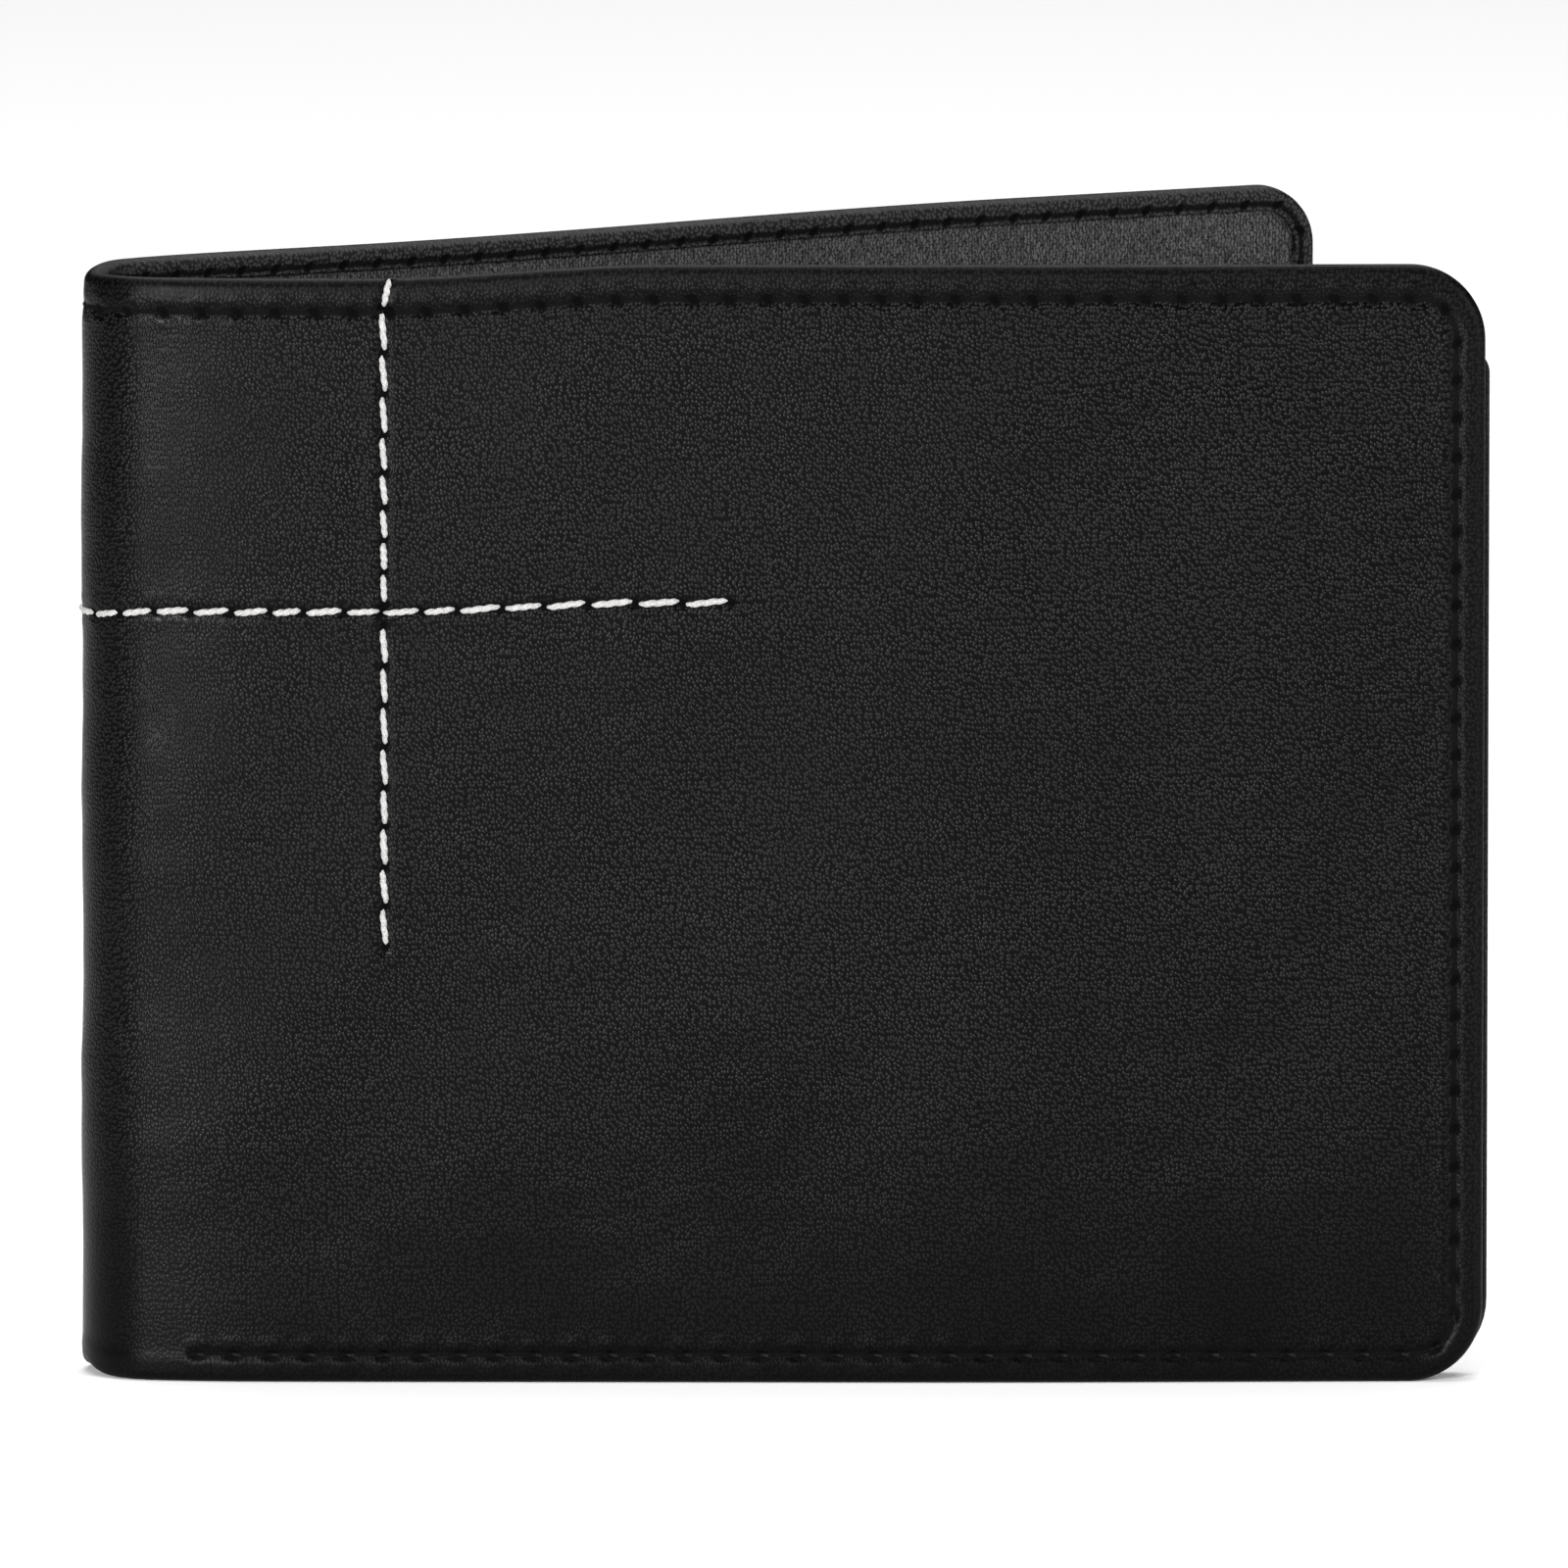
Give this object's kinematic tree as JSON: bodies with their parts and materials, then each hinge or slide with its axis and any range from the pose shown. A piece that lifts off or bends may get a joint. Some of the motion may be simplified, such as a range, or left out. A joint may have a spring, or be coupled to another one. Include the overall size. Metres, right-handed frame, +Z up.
{
  "type": "bifold wallet",
  "caption": "Bifold leather wallet standing part open, with a bill compartment, stepped card pockets, an ID window and two lines of contrast stitching.",
  "frame": {"origin": "centre of the underside of the wallet's box as it stands, part open, on its bottom edge", "axes": "+X from the spine to the open end of the front half, +Y from the front cover towards the back one, +Z up"},
  "size_m": [0.1152, 0.0616, 0.092],
  "materials": {
    "cover_leather": "satin, fine pebble grain",
    "pocket_leather": "satin, fine grain",
    "lining_fabric": "matte weave",
    "divider_fabric": "matte weave",
    "stiffener_board": "matte",
    "black_thread": "waxed",
    "white_thread": "waxed",
    "clear_film": "clear gloss"
  },
  "bodies": {
    "front_half": {"front_bill_divider": "divider_fabric", "front_card_pocket_1": "pocket_leather", "front_card_pocket_2": "pocket_leather", "front_card_pocket_3": "pocket_leather", "front_cover": "cover_leather", "front_edge_stitching": "black_thread", "front_hem_stitching": "black_thread", "front_inner_wall": "pocket_leather", "front_lining": "lining_fabric", "front_pocket_stitching": "black_thread", "front_slip_pocket": "pocket_leather", "front_stiffener": "stiffener_board", "white_stitching_column": "white_thread", "white_stitching_row": "white_thread"},
    "spine_1": {"spine_bill_divider_1": "divider_fabric", "spine_cover_1": "cover_leather", "spine_edge_stitching_1": "black_thread", "spine_inner_wall_1": "pocket_leather", "spine_lining_1": "lining_fabric", "spine_white_stitching_1": "white_thread"},
    "spine_2": {"spine_bill_divider_2": "divider_fabric", "spine_cover_2": "cover_leather", "spine_edge_stitching_2": "black_thread", "spine_inner_wall_2": "pocket_leather", "spine_lining_2": "lining_fabric", "spine_white_stitching_2": "white_thread"},
    "spine_3": {"spine_bill_divider_3": "divider_fabric", "spine_cover_3": "cover_leather", "spine_edge_stitching_3": "black_thread", "spine_inner_wall_3": "pocket_leather", "spine_lining_3": "lining_fabric", "spine_white_stitching_3": "white_thread"},
    "back_half": {"back_bill_divider": "divider_fabric", "back_card_pocket_1": "pocket_leather", "back_card_pocket_2": "pocket_leather", "back_cover": "cover_leather", "back_edge_stitching": "black_thread", "back_hem_stitching": "black_thread", "back_inner_wall": "pocket_leather", "back_lining": "lining_fabric", "back_pocket_stitching": "black_thread", "back_slip_pocket": "pocket_leather", "back_stiffener": "stiffener_board", "id_window_film": "clear_film", "id_window_frame": "pocket_leather", "white_stitching_back": "white_thread"}
  },
  "joints": [
    {"name": "fold_2", "type": "hinge", "parent": "spine_2", "child": "spine_1", "pos_m": [-0.05619, -0.02716, 0], "axis": [0, 0, -1], "range_deg": [-6.5, 38.5]},
    {"name": "fold_1", "type": "hinge", "parent": "spine_1", "child": "front_half", "pos_m": [-0.05196, -0.03052, 0], "axis": [0, 0, -1], "range_deg": [-6.5, 38.5]},
    {"name": "fold_3", "type": "hinge", "parent": "spine_2", "child": "spine_3", "pos_m": [-0.0574, -0.0219, 0], "axis": [0, 0, 1], "range_deg": [-6.5, 38.5]},
    {"name": "fold_4", "type": "hinge", "parent": "spine_3", "child": "back_half", "pos_m": [-0.05508, -0.01703, 0], "axis": [0, 0, 1], "range_deg": [-6.5, 38.5]}
  ],
  "couplings": [
    {"joint": "fold_1", "follows": "fold_2", "ratio": 1},
    {"joint": "fold_3", "follows": "fold_2", "ratio": 1},
    {"joint": "fold_4", "follows": "fold_2", "ratio": 1}
  ]
}
